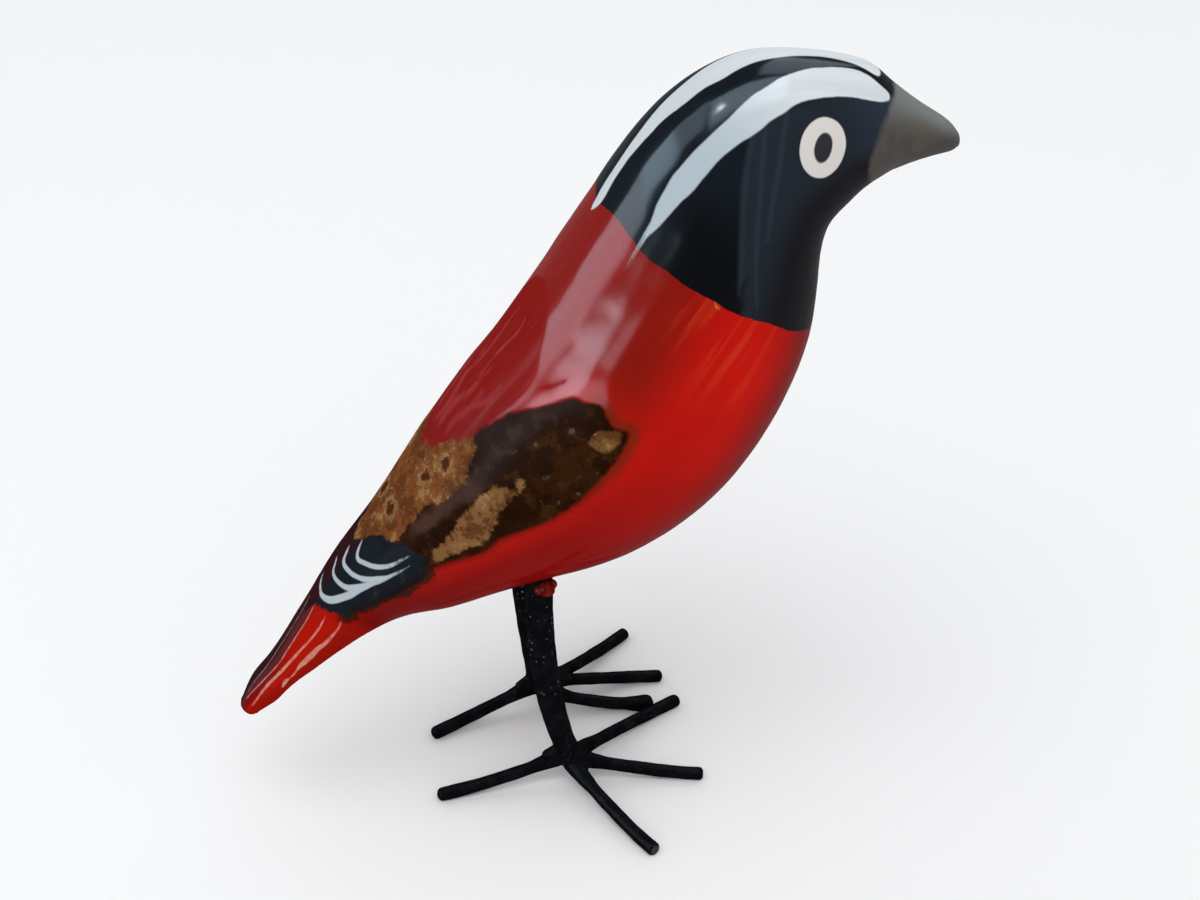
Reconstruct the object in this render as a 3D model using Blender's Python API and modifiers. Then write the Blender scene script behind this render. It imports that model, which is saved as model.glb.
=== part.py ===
"""Wooden bird figurine on two wire legs, in metres, +Z up, with the beak towards +X.

The body, from the tail to the beak, is one piece of carved wood, painted and lacquered. Each leg is a bundle of
wires under thick black enamel: together they are the shank, and below the ankle they part into four toes. The
top of each leg stands in a socket drilled in the belly, with a drop of red filler beside it.
"""

import math

import bmesh
import bpy
import numpy as np
from mathutils.bvhtree import BVHTree

# Driving dimensions
BODY_LENGTH = 0.140
HIP_HEIGHT = 0.0385  # from the floor to the belly between the legs
WING_RELIEF = 0.0007  # how far the wings stand out from the back and the flanks
LEG_SPACING = 0.0176  # between the two shanks
LEG_DIAMETER = 0.0043
ANKLE_DIAMETER = 0.0049
ANKLE_HEIGHT = 0.0050  # middle of the ankle above the floor
TOE_DIAMETER = 0.0021
TOE_LENGTH = 0.0212  # the usual toe, from the ankle's middle to the tip
TOE_GAP = 0.0010  # between the tip of the left inner toe and the right inner toe
TOE_FLAT = 0.00025  # how much of each toe is flattened where it bears on the floor
SOCKET_DEPTH = 0.0060
SOCKET_CLEARANCE = 0.0003  # all round the leg, and above its end
FILLER_DIAMETER = 0.0025
FILLER_HEIGHT = 0.0042
FILLER_BEARING = 50  # degrees outwards from straight ahead, on the socket's rim

# The body's stations from the tail to the beak, in hundredths of its length, from the hip point between the
# legs: the back's x and z, the belly's x and z, and half the width.
STATIONS = (
    (-33.0, -13.8, -32.6, -14.6, 1.5),  # tip of the tail
    (-31.7, -10.8, -29.6, -13.8, 2.2),
    (-27.8, -6.4, -25.4, -9.2, 3.7),
    (-21.1, 3.3, -15.7, -3.0, 5.8),  # root of the tail
    (-16.8, 9.5, -8.9, -1.7, 7.8),
    (-12.0, 16.5, -0.1, 0.4, 10.0),  # over the legs
    (-6.2, 24.4, 10.5, 2.7, 12.5),
    (-0.9, 30.9, 20.4, 9.1, 13.8),  # breast
    (3.8, 37.7, 26.9, 18.0, 13.7),
    (8.4, 44.7, 30.4, 27.1, 12.6),
    (13.4, 51.6, 31.1, 34.8, 11.1),  # neck
    (19.3, 56.3, 31.6, 39.4, 9.6),
    (24.9, 57.9, 33.5, 41.7, 8.3),  # crown
    (30.2, 57.5, 35.7, 43.2, 6.7),
    (35.3, 56.2, 38.0, 44.3, 5.3),  # brow
    (37.9, 54.3, 39.4, 44.5, 4.0),  # root of the beak
    (41.6, 51.2, 42.5, 45.1, 2.6),
    (44.6, 49.0, 45.1, 45.4, 1.7),
    (46.1, 47.3, 46.1, 45.7, 0.7),  # tip of the beak
)
CAGE_SIDES = 10
SMOOTHING_LEVELS = 2

# The right wing's outline as station and degrees from the line of the back. The left wing mirrors it, and the
# two meet on the lower back.
WING_OUTLINE = (
    (2.5, 0), (5.1, 0), (5.6, 14), (6.3, 27), (6.8, 34), (7.3, 43), (7.6, 56),
    (7.5, 70), (7.1, 78), (6.4, 82), (5.6, 84), (4.6, 80), (3.6, 82), (2.9, 74), (2.6, 45),
)  # fmt: skip
WING_EDGE = 0.7  # width of the outline's slope, in stations
DEGREES_PER_STATION = 25  # an angle that is about as wide on the wing as a station is long

# Stations where the paint changes
WING_TIP_STATION = 4.4
HEAD_STATION = 9.1
BEAK_STATION = 15.0

# Each toe: degrees from straight ahead, outwards positive; its length in toe lengths; how high its root leaves
# the bundle, from the ankle's middle, and how far it bows outwards, both in toe diameters.
RIGHT_TOES = {
    "back": (180, 1.04, 0.1, 0.1),
    "middle": (15, 1.03, -0.3, -0.1),
    "inner": (-30, 1.21, -0.2, -0.4),
    "outer": (66, 1.05, -0.7, 0.1),
}
LEFT_TOES = {
    "back": (190, 0.92, 0.2, -0.4),
    "middle": (4, 1.05, 0.3, 0.6),
    "outer": (37, 1.13, 0.1, 0.1),
}
LEFT_INNER_TOE = (-14, -0.5, -0.3)  # with no length of its own, because it ends short of the right inner toe
RIGHT_STEP = (0.0045, 2.6)  # how far the ankle is ahead of the hip, and how late the shank bends there
LEFT_STEP = (0.0033, 1.0)
SHANK_POINTS = 9
TOE_POINTS = 7
TOE_DROOP = 1.8  # 1 would be a straight toe, more brings it to the floor sooner
TOE_ROOT = 1.25  # thickness of a toe's root in toe diameters
TOE_END = 0.8  # thickness of its tip


def material(name, colour, roughness, metallic=0.0, coat=0.0):
    """A plain finish."""
    made = bpy.data.materials.new(name)
    made.use_nodes = True
    shader = made.node_tree.nodes["Principled BSDF"]
    shader.inputs["Base Color"].default_value = (*colour, 1)
    shader.inputs["Roughness"].default_value = roughness
    shader.inputs["Metallic"].default_value = metallic
    shader.inputs["Coat Weight"].default_value = coat
    return made


def new_collection(name):
    made = bpy.data.collections.new(name)
    bpy.context.scene.collection.children.link(made)
    return made


def hide_helper(helper, cutters):
    """Keeps a cutter or a part of a union out of the picture."""
    cutters.objects.link(helper)
    helper.hide_render = True
    helper.display_type = "WIRE"
    return helper


def boolean(piece, helper, operation):
    made = piece.modifiers.new(f"{operation.lower()} {helper.name}", "BOOLEAN")
    made.operation = operation
    made.object = helper


def shade_round(mesh):
    mesh.shade_smooth()
    mesh.set_sharp_from_angle(angle=math.radians(40))


def cage_rows(stations):
    """The cage's stations, which lie outside the form so that the smoothed surface passes through those given.

    A smoothed station is a sixth of the one before, four sixths of its own and a sixth of the one after.
    """
    count = len(stations)
    smoothing = 4 * np.eye(count) + np.eye(count, k=1) + np.eye(count, k=-1)
    smoothing[[0, -1]] = 6 * np.eye(count)[[0, -1]]
    return np.linalg.solve(smoothing, 6 * np.array(stations))


def cage_mesh():
    """The body's cage: a ring of points round each station, with the station and the angle kept on each."""
    sixth = (4 + 2 * math.cos(2 * math.pi / CAGE_SIDES)) / 6
    rows = cage_rows(STATIONS) * BODY_LENGTH / 100
    angles = np.arange(CAGE_SIDES) * 2 * math.pi / CAGE_SIDES
    shape = bmesh.new()
    station_layer = shape.verts.layers.float.new("station")
    angle_layer = shape.verts.layers.float.new("angle")
    rings = []
    for number, (back_x, back_z, belly_x, belly_z, half_width) in enumerate(rows):
        ring = []
        for angle in angles:
            along = math.cos(angle) / sixth
            x = (back_x + belly_x) / 2 + (back_x - belly_x) / 2 * along
            z = (back_z + belly_z) / 2 + (back_z - belly_z) / 2 * along
            point = shape.verts.new((x, half_width * math.sin(angle) / sixth, z))
            point[station_layer] = number
            point[angle_layer] = math.degrees(min(angle, 2 * math.pi - angle))
            ring.append(point)
        rings.append(ring)
    for one, other in zip(rings, rings[1:]):
        for side in range(CAGE_SIDES):
            after = (side + 1) % CAGE_SIDES
            shape.faces.new((one[side], one[after], other[after], other[side]))
    shape.faces.new(rings[0])
    shape.faces.new(rings[-1])
    bmesh.ops.recalc_face_normals(shape, faces=shape.faces)
    mesh = bpy.data.meshes.new("cage")
    shape.to_mesh(mesh)
    shape.free()
    return mesh


def inside_outline(outline, points):
    """How far each point lies inside a closed outline, and outside it as a negative number."""
    starts = np.array(outline, float)
    ends = np.roll(starts, -1, axis=0)
    runs = ends - starts
    from_start = points[:, None] - starts
    share = np.clip((from_start * runs).sum(axis=2) / (runs**2).sum(axis=1), 0, 1)
    nearest = np.linalg.norm(from_start - share[..., None] * runs, axis=2).min(axis=1)
    straddles = (starts[:, 1] > points[:, None, 1]) != (ends[:, 1] > points[:, None, 1])
    rise = np.where(runs[:, 1] == 0, 1, runs[:, 1])
    crossing = starts[:, 0] + from_start[..., 1] * runs[:, 0] / rise
    crossings = (straddles & (points[:, None, 0] < crossing)).sum(axis=1)
    return np.where(crossings % 2, nearest, -nearest)


def carve_wings(mesh):
    """Leaves the two wings standing out from the back and the flanks, with a soft edge."""
    count = len(mesh.vertices)
    station, angle = np.empty(count), np.empty(count)
    mesh.attributes["station"].data.foreach_get("value", station)
    mesh.attributes["angle"].data.foreach_get("value", angle)
    outline = [(at, turn / DEGREES_PER_STATION) for at, turn in WING_OUTLINE]
    # Mirrored over the back's line, so that the wings meet there with no step.
    outline += [(at, -turn) for at, turn in reversed(outline) if turn > 0]
    depth = inside_outline(outline, np.stack([station, angle / DEGREES_PER_STATION], axis=1))
    share = np.clip(depth / WING_EDGE + 0.5, 0, 1)
    raised = WING_RELIEF * share**2 * (3 - 2 * share)
    place, normal = np.empty(count * 3), np.empty(count * 3)
    mesh.vertices.foreach_get("co", place)
    mesh.vertices.foreach_get("normal", normal)
    mesh.vertices.foreach_set("co", place + normal * np.repeat(raised, 3))
    mesh.attributes.new("raised", "FLOAT", "POINT").data.foreach_set("value", raised)
    mesh.update()


def paint(mesh):
    """One finish for each painted zone: the red body, the navy head, the horn beak and the brown wings."""
    finishes = (
        material("red_lacquer", (0.42, 0.01, 0.005), 0.25, coat=1.0),
        material("navy_lacquer", (0.012, 0.018, 0.028), 0.25, coat=1.0),
        material("horn_lacquer", (0.12, 0.10, 0.085), 0.3, coat=1.0),
        material("brown_lacquer", (0.09, 0.04, 0.015), 0.3, coat=1.0),
    )
    for finish in finishes:
        mesh.materials.append(finish)
    red, navy, horn, brown = range(len(finishes))
    station, raised = mesh.attributes["station"].data, mesh.attributes["raised"].data
    for face in mesh.polygons:
        at = sum(station[point].value for point in face.vertices) / len(face.vertices)
        wing = sum(raised[point].value for point in face.vertices) / len(face.vertices)
        if at > BEAK_STATION:
            face.material_index = horn
        elif at > HEAD_STATION:
            face.material_index = navy
        elif wing > WING_RELIEF / 2:
            face.material_index = navy if at < WING_TIP_STATION else brown
        else:
            face.material_index = red


def make_body():
    """The carved bird, still without its sockets, with the hip point at its own origin."""
    cage = bpy.data.objects.new("cage", cage_mesh())
    bpy.context.scene.collection.objects.link(cage)
    smoothing = cage.modifiers.new("smoothing", "SUBSURF")
    smoothing.levels = SMOOTHING_LEVELS
    smoothing.render_levels = SMOOTHING_LEVELS
    graph = bpy.context.evaluated_depsgraph_get()
    mesh = bpy.data.meshes.new_from_object(cage.evaluated_get(graph))
    bpy.data.objects.remove(cage)
    carve_wings(mesh)
    paint(mesh)
    shade_round(mesh)
    body = bpy.data.objects.new("body", mesh)
    body.location.z = HIP_HEIGHT
    return body


def belly_height(body, y):
    """Height above the floor of the body's underside at the hips, this far to one side."""
    surface = BVHTree.FromPolygons(
        [point.co for point in body.data.vertices],
        [face.vertices for face in body.data.polygons],
    )
    hit = surface.ray_cast((0, y, -BODY_LENGTH), (0, 0, 1))[0]
    return HIP_HEIGHT + hit.z


def wire(name, points, thickness, cutters):
    """A round wire as a closed mesh, with the thickness of each of its points."""
    data = bpy.data.curves.new(name, "CURVE")
    data.dimensions = "3D"
    data.bevel_depth = 1.0
    data.bevel_resolution = 3
    data.use_fill_caps = True
    spline = data.splines.new("POLY")
    spline.points.add(len(points) - 1)
    for point, place, diameter in zip(spline.points, points, thickness):
        point.co = (*place, 1)
        point.radius = diameter / 2
    curve = bpy.data.objects.new(name, data)
    bpy.context.scene.collection.objects.link(curve)
    graph = bpy.context.evaluated_depsgraph_get()
    mesh = bpy.data.meshes.new_from_object(curve.evaluated_get(graph))
    bpy.data.objects.remove(curve)
    shape = bmesh.new()
    shape.from_mesh(mesh)
    bmesh.ops.remove_doubles(shape, verts=shape.verts, dist=1e-6)
    bmesh.ops.recalc_face_normals(shape, faces=shape.faces)
    shape.to_mesh(mesh)
    shape.free()
    return hide_helper(bpy.data.objects.new(name, mesh), cutters)


def ball(name, place, diameters, cutters):
    mesh = bpy.data.meshes.new(name)
    shape = bmesh.new()
    bmesh.ops.create_icosphere(shape, subdivisions=2, radius=0.5)
    bmesh.ops.scale(shape, vec=diameters, verts=shape.verts)
    bmesh.ops.translate(shape, vec=place, verts=shape.verts)
    shape.to_mesh(mesh)
    shape.free()
    return hide_helper(bpy.data.objects.new(name, mesh), cutters)


def shank_points(side, top, belly, step):
    """Straight down out of the socket, and then a slow bend forward to the ankle."""
    ahead, lateness = step
    y = side * LEG_SPACING / 2
    points = [(0, y, top)]
    for number in range(SHANK_POINTS):
        share = number / (SHANK_POINTS - 1)
        height = belly + (ANKLE_HEIGHT - belly) * share
        points.append((ahead * share**lateness, y, height))
    return points


def toe_direction(side, heading):
    """Level unit vector at this many degrees from straight ahead, outwards from the bird."""
    return math.cos(math.radians(heading)), side * math.sin(math.radians(heading))


def toe_points(ankle, side, heading, length, root, bow):
    """Out of the bundle and down to the floor, which the toe's end lies on, with a bow to one side."""
    ahead, across = toe_direction(side, heading)
    lowest = TOE_DIAMETER / 2 - TOE_FLAT
    highest = ankle[2] + root * TOE_DIAMETER
    points = []
    for number in range(TOE_POINTS):
        share = number / (TOE_POINTS - 1)
        reach = length * share
        aside = side * bow * TOE_DIAMETER * 4 * share * (1 - share)  # widest at half the toe's length
        x = ankle[0] + ahead * reach - across * aside
        y = ankle[1] + across * reach + ahead * aside
        points.append((x, y, lowest + (highest - lowest) * (1 - share) ** TOE_DROOP))
    return points


def left_inner_length(right_ankle, left_ankle):
    """The left inner toe stops short of the right inner toe, with the gap between the two wires."""
    right = toe_direction(-1, RIGHT_TOES["inner"][0])
    left = toe_direction(1, LEFT_INNER_TOE[0])
    ahead, across = left_ankle[0] - right_ankle[0], left_ankle[1] - right_ankle[1]
    turn = abs(right[0] * left[1] - right[1] * left[0])
    to_crossing = abs(right[0] * across - right[1] * ahead) / turn
    return to_crossing - (TOE_DIAMETER + TOE_GAP) / turn


def real_lengths(toes):
    """The same toes with their lengths in metres."""
    return {toe: (turn, share * TOE_LENGTH, *rest) for toe, (turn, share, *rest) in toes.items()}


def make_leg(name, side, belly, step, toes, enamel, cutters):
    """Shank, ankle and toes joined in one coat of enamel, flattened where the toes bear on the floor."""
    points = shank_points(side, belly + SOCKET_DEPTH, belly, step)
    shank = wire(f"{name}_shank", points, [LEG_DIAMETER] * len(points), cutters)
    ankle = points[-1]
    leg = bpy.data.objects.new(name, shank.data)
    bpy.data.objects.remove(shank)
    boolean(leg, ball(f"{name}_ankle", ankle, [ANKLE_DIAMETER] * 3, cutters), "UNION")
    for toe, shape in toes.items():
        thickness = [TOE_DIAMETER] * TOE_POINTS
        thickness[0] = thickness[1] = TOE_DIAMETER * TOE_ROOT
        thickness[-1] = TOE_DIAMETER * TOE_END
        path = toe_points(ankle, side, *shape)
        boolean(leg, wire(f"{name}_{toe}_toe", path, thickness, cutters), "UNION")
    slab = bpy.data.meshes.new(f"{name}_floor")
    shape = bmesh.new()
    bmesh.ops.create_cube(shape, size=BODY_LENGTH)
    bmesh.ops.translate(shape, vec=(0, 0, -BODY_LENGTH / 2), verts=shape.verts)
    shape.to_mesh(slab)
    shape.free()
    boolean(leg, hide_helper(bpy.data.objects.new(slab.name, slab), cutters), "DIFFERENCE")
    leg.data.materials.append(enamel)
    return leg


def drill_socket(body, side, belly, cutters):
    """A drop of filler on the belly beside the leg, and the leg's socket cut through both."""
    y = side * LEG_SPACING / 2
    radius = LEG_DIAMETER / 2 + SOCKET_CLEARANCE
    ahead, across = toe_direction(side, FILLER_BEARING)
    rim = (ahead * radius, y + across * radius, belly - HIP_HEIGHT)
    drop = ball(f"filler_{side}", rim, (FILLER_DIAMETER, FILLER_DIAMETER, FILLER_HEIGHT), cutters)
    hole = bpy.data.meshes.new(f"socket_{side}")
    below = FILLER_HEIGHT
    depth = SOCKET_DEPTH + SOCKET_CLEARANCE
    shape = bmesh.new()
    bmesh.ops.create_cone(
        shape, cap_ends=True, segments=16, radius1=radius, radius2=radius, depth=depth + below
    )
    middle = belly - HIP_HEIGHT + (depth - below) / 2
    bmesh.ops.translate(shape, vec=(0, y, middle), verts=shape.verts)
    shape.to_mesh(hole)
    shape.free()
    drill = hide_helper(bpy.data.objects.new(hole.name, hole), cutters)
    for helper in (drop, drill):
        helper.location.z = HIP_HEIGHT
    boolean(body, drop, "UNION")
    boolean(body, drill, "DIFFERENCE")


def stand_on_origin(parts, cutters):
    """Brings the middle of the floor that the bird covers to the origin, and everything with it."""
    graph = bpy.context.evaluated_depsgraph_get()
    lows, highs = [], []
    for part in parts.objects:
        mesh = part.evaluated_get(graph).to_mesh()
        corners = np.empty(len(mesh.vertices) * 3)
        mesh.vertices.foreach_get("co", corners)
        corners = corners.reshape(-1, 3) + np.array(part.location)
        lows.append(corners.min(axis=0))
        highs.append(corners.max(axis=0))
    middle = (np.min(lows, axis=0) + np.max(highs, axis=0)) / 2
    stand = bpy.data.objects.new("stand_point", None)
    bpy.context.scene.collection.objects.link(stand)
    stand.location = (-middle[0], -middle[1], 0)
    for piece in (*parts.objects, *cutters.objects):
        piece.parent = stand


def main():
    for thing in list(bpy.data.objects):
        bpy.data.objects.remove(thing)
    parts = new_collection("wooden_bird_figurine")
    cutters = new_collection("cutters")
    enamel = material("black_enamel", (0.006, 0.007, 0.009), 0.35)
    body = make_body()
    parts.objects.link(body)
    right_belly = belly_height(body, -LEG_SPACING / 2)
    left_belly = belly_height(body, LEG_SPACING / 2)
    right_ankle = shank_points(-1, right_belly, right_belly, RIGHT_STEP)[-1]
    left_ankle = shank_points(1, left_belly, left_belly, LEFT_STEP)[-1]
    right_toes, left_toes = real_lengths(RIGHT_TOES), real_lengths(LEFT_TOES)
    heading, root, bow = LEFT_INNER_TOE
    left_toes["inner"] = (heading, left_inner_length(right_ankle, left_ankle), root, bow)
    drill_socket(body, -1, right_belly, cutters)
    drill_socket(body, 1, left_belly, cutters)
    for leg in (
        make_leg("right_leg", -1, right_belly, RIGHT_STEP, right_toes, enamel, cutters),
        make_leg("left_leg", 1, left_belly, LEFT_STEP, left_toes, enamel, cutters),
    ):
        parts.objects.link(leg)
    stand_on_origin(parts, cutters)


main()
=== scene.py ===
"""Wooden bird figurine on two enamelled wire legs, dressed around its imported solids.

Metres, +Z up, the beak towards +X and the bird's left towards +Y. Each section is one piece, in the order in
which the bird is made: the carved and painted body, the wire legs, and the filler that holds them in it.
"""

import math

import bpy
import numpy as np
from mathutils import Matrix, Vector


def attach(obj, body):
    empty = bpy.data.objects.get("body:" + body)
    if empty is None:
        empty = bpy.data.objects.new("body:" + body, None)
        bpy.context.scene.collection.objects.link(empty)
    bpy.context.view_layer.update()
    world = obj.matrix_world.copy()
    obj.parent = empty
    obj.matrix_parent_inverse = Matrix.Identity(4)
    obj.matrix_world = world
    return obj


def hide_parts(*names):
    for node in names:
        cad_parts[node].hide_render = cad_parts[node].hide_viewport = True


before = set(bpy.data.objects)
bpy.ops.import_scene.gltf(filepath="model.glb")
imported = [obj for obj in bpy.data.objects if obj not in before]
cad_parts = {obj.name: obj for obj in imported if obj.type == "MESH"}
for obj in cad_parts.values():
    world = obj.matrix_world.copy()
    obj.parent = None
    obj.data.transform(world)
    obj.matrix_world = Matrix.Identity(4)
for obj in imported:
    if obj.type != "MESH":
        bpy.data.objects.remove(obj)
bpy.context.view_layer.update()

# The carved body
# One piece of light wood, carved from the tail to the beak with the two wings left standing out a little,
# and smoothed by hand. The legs are glued into its belly, and all else on it is paint under thick lacquer.
MM = 0.001
BODY_LENGTH = 140.0  # mm, as are the lengths below
HIP = np.array((-9.28, 2.80, 38.5))  # the middle of the belly between the legs
SYMMETRY_Y = HIP[1]
STATIONS = np.array(
    (
        # back x, back z, belly x, belly z and half the width, in hundredths of the length from the hip
        (-32.8, -13.1, -30.7, -14.3, 1.7),  # tip of the tail
        (-31.2, -10.2, -28.6, -12.7, 2.6),
        (-27.8, -6.5, -25.4, -9.2, 3.7),
        (-21.4, 3.7, -15.7, -3.0, 5.8),  # root of the tail
        (-16.8, 9.5, -8.9, -1.7, 7.8),
        (-12.0, 16.5, -0.1, 0.4, 10.0),  # over the legs
        (-6.2, 24.4, 10.5, 2.7, 12.5),
        (-0.9, 30.9, 20.4, 9.1, 13.8),  # breast
        (3.8, 37.7, 26.9, 18.0, 13.7),
        (8.4, 44.7, 30.4, 27.1, 12.6),
        (13.4, 51.6, 31.1, 34.8, 11.1),  # neck
        (19.3, 56.3, 31.6, 39.4, 9.6),
        (24.9, 57.9, 33.5, 41.7, 8.3),  # crown
        (30.2, 57.5, 35.7, 43.2, 6.7),
        (35.3, 56.2, 38.0, 44.3, 5.3),  # brow
        (37.9, 54.3, 39.4, 44.5, 4.0),  # root of the beak
        (41.6, 51.2, 42.5, 45.1, 2.6),
        (44.6, 49.0, 45.1, 45.4, 1.7),
        (46.1, 47.3, 46.1, 45.7, 0.7),  # tip of the beak
    )
)
LAST_STATION = len(STATIONS) - 1
CAP_LENGTHS = (1.8, 0.4)  # how far the tail and the beak round off past their last stations
END_STEP = 0.05  # stations over which the way that the body runs is taken at either end
WING_RELIEF = 0.75  # how far the wings stand out at their lower edge


def along_body(station):
    """The rows of STATIONS as smooth curves: each place blends four controls by the uniform cubic's weights.

    The controls lie outside the form, so that a sixth of the one before, four sixths of a row's own and
    a sixth of the one after give the row itself.
    """
    count = len(STATIONS)
    smoothing = 4 * np.eye(count) + np.eye(count, k=1) + np.eye(count, k=-1)
    smoothing[[0, -1]] = 6 * np.eye(count)[[0, -1]]
    inner = np.linalg.solve(smoothing, 6 * STATIONS)
    controls = np.vstack((2 * inner[0] - inner[1], inner, 2 * inner[-1] - inner[-2]))
    first = np.clip(station.astype(int), 0, count - 2)
    t = (station - first)[..., None]
    weights = ((1 - t) ** 3, 3 * t**3 - 6 * t**2 + 4, -3 * t**3 + 3 * t**2 + 3 * t + 1, t**3)
    return sum(weight * controls[first + step] for step, weight in enumerate(weights)) / 6


def body_points(station, angle):
    """Points in mm: middle + half height * cos(angle) in the bird's plane, half width * sin(angle) aside.

    A station past either end, by up to 1, closes the ellipse roundly, by sqrt(1 - past^2).
    """
    inside = np.clip(station, 0, LAST_STATION)
    past = station - inside
    row = along_body(inside)
    ends = along_body(np.array((0.0, END_STEP, LAST_STATION - END_STEP, LAST_STATION)))
    middles = (ends[:, 0:2] + ends[:, 2:4]) / 2
    ways = np.array((middles[0] - middles[1], middles[3] - middles[2]))
    ways /= np.linalg.norm(ways, axis=1, keepdims=True)
    ways *= np.array(CAP_LENGTHS)[:, None]
    beyond = np.abs(past)[..., None] * np.where(past[..., None] < 0, ways[0], ways[1])
    closing = np.sqrt(np.clip(1 - past**2, 0, 1))
    scale = BODY_LENGTH / 100
    middle = (row[..., 0:2] + row[..., 2:4]) / 2 * scale + beyond
    half = (row[..., 0:2] - row[..., 2:4]) / 2 * scale * closing[..., None]
    across = row[..., 4] * scale * closing * np.sin(angle)
    x = middle[..., 0] + half[..., 0] * np.cos(angle)
    z = middle[..., 1] + half[..., 1] * np.cos(angle)
    return np.stack((x, across, z), axis=-1) + HIP


def normals_of(grid):
    """Unit normals of a grid of rings: the cross product of its slopes along and round."""
    along = np.gradient(grid, axis=0)
    around = np.roll(grid, -1, axis=1) - np.roll(grid, 1, axis=1)
    normal = np.cross(along, around)
    return normal / np.maximum(np.linalg.norm(normal, axis=-1, keepdims=True), 1e-9)


def gentle_waves(points, longest, height, count, seed):
    """A soft unevenness in mm: a sum of sines, each along a random direction, from longest to a third."""
    draws = np.random.default_rng(seed)
    directions = draws.normal(size=(count, 3))
    directions /= np.linalg.norm(directions, axis=1, keepdims=True)
    lengths = longest / np.linspace(1, 3, count)
    phases = draws.uniform(0, 2 * math.pi, count)
    waves = np.sin(points @ directions.T * (2 * math.pi / lengths) + phases)
    return waves @ (height * lengths / longest) / math.sqrt(count)


CURVE_STEPS = 8  # places from one point of an outline to the next


def dense(outline, closed):
    """A smooth curve through the points of a marking's outline, in stations and degrees.

    Each run is the cubic through one and other whose slopes there are half the way from before to other and
    half the way from one to after.
    """
    points = np.array(outline, float)
    ends = (points[-1:], points[:2]) if closed else (points[:1], points[-1:])
    padded = np.vstack((ends[0], points, ends[1]))
    t = np.arange(CURVE_STEPS)[:, None] / CURVE_STEPS
    runs = []
    for before, one, other, after in zip(padded, padded[1:], padded[2:], padded[3:]):
        bend = 2 * before - 5 * one + 4 * other - after
        twist = 3 * (one - other) + after - before
        runs.append(one + t / 2 * (other - before + t * (bend + t * twist)))
    return np.vstack((*runs, padded[-2:-1]))


POINTS_AT_ONCE = 6000  # which keeps the tables of distances small


def from_line(points, outline, closed=False):
    """Distance in mm from each point to a line on the body, less the line's half width where it has one."""
    line = dense(outline, closed)
    path = body_points(line[:, 0], np.radians(line[:, 1]))
    width = line[:, 2] if line.shape[1] > 2 else np.zeros(len(line))
    runs = path[1:] - path[:-1]
    squares = np.maximum((runs**2).sum(axis=1), 1e-12)
    nearest = np.empty(len(points))
    for start in range(0, len(points), POINTS_AT_ONCE):
        block = slice(start, start + POINTS_AT_ONCE)
        chosen = points[block, None]
        share = np.clip(((chosen - path[:-1]) * runs).sum(axis=2) / squares, 0, 1)
        gap = np.linalg.norm(chosen - path[:-1] - share[..., None] * runs, axis=2)
        half = width[:-1] + share * (width[1:] - width[:-1])
        nearest[block] = (gap - half).min(axis=1)
    return nearest


def within(station, degrees, outline, closed=False):
    """Whether each place, in stations and degrees, lies inside an outline, by counting crossings."""
    starts = dense(outline, closed)[:, :2]
    ends = np.roll(starts, -1, axis=0)
    crossings = np.zeros(len(station), int)
    for (s0, a0), (s1, a1) in zip(starts, ends):
        straddles = (a0 > degrees) != (a1 > degrees)
        rise = a1 - a0 if a1 != a0 else 1.0
        crossings += straddles & (station < s0 + (degrees - a0) * (s1 - s0) / rise)
    return crossings % 2 == 1


def depth_in(points, station, degrees, outline, closed=True):
    """Distance in mm from the outline of a painted patch, above zero inside it and below zero outside.

    An open outline starts and ends on the back's line, which is no edge of its patch.
    """
    inside = within(station, degrees, outline, closed)
    return np.where(inside, 1, -1) * from_line(points, outline, closed)


def closed_rings(name, rings, first, last):
    """A mesh of rings: points joined round and along, and each end ring closed by a fan to its own point."""
    count, round_count = rings.shape[:2]
    points = np.vstack((rings.reshape(-1, 3), first, last)) * MM
    here = np.arange(count - 1)[:, None] * round_count + np.arange(round_count)
    beside = np.arange(count - 1)[:, None] * round_count + (np.arange(round_count) + 1) % round_count
    quads = np.stack((here, here + round_count, beside + round_count, beside), axis=-1).reshape(-1, 4)
    edge = np.arange(round_count)
    after = (edge + 1) % round_count
    pole = count * round_count
    top = (count - 1) * round_count
    start_fan = np.stack((np.full(round_count, pole), edge, after), axis=-1)
    end_fan = np.stack((np.full(round_count, pole + 1), top + after, top + edge), axis=-1)
    mesh = bpy.data.meshes.new(name)
    mesh.vertices.add(len(points))
    mesh.vertices.foreach_set("co", points.ravel())
    loops = np.concatenate((quads.ravel(), start_fan.ravel(), end_fan.ravel()))
    sizes = np.concatenate((np.full(len(quads), 4), np.full(2 * round_count, 3)))
    mesh.loops.add(len(loops))
    mesh.loops.foreach_set("vertex_index", loops)
    mesh.polygons.add(len(sizes))
    mesh.polygons.foreach_set("loop_start", np.concatenate(((0,), np.cumsum(sizes)[:-1])))
    mesh.update(calc_edges=True)
    mesh.validate()
    mesh.shade_smooth()
    piece = bpy.data.objects.new(name, mesh)
    bpy.context.scene.collection.objects.link(piece)
    return piece


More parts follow.
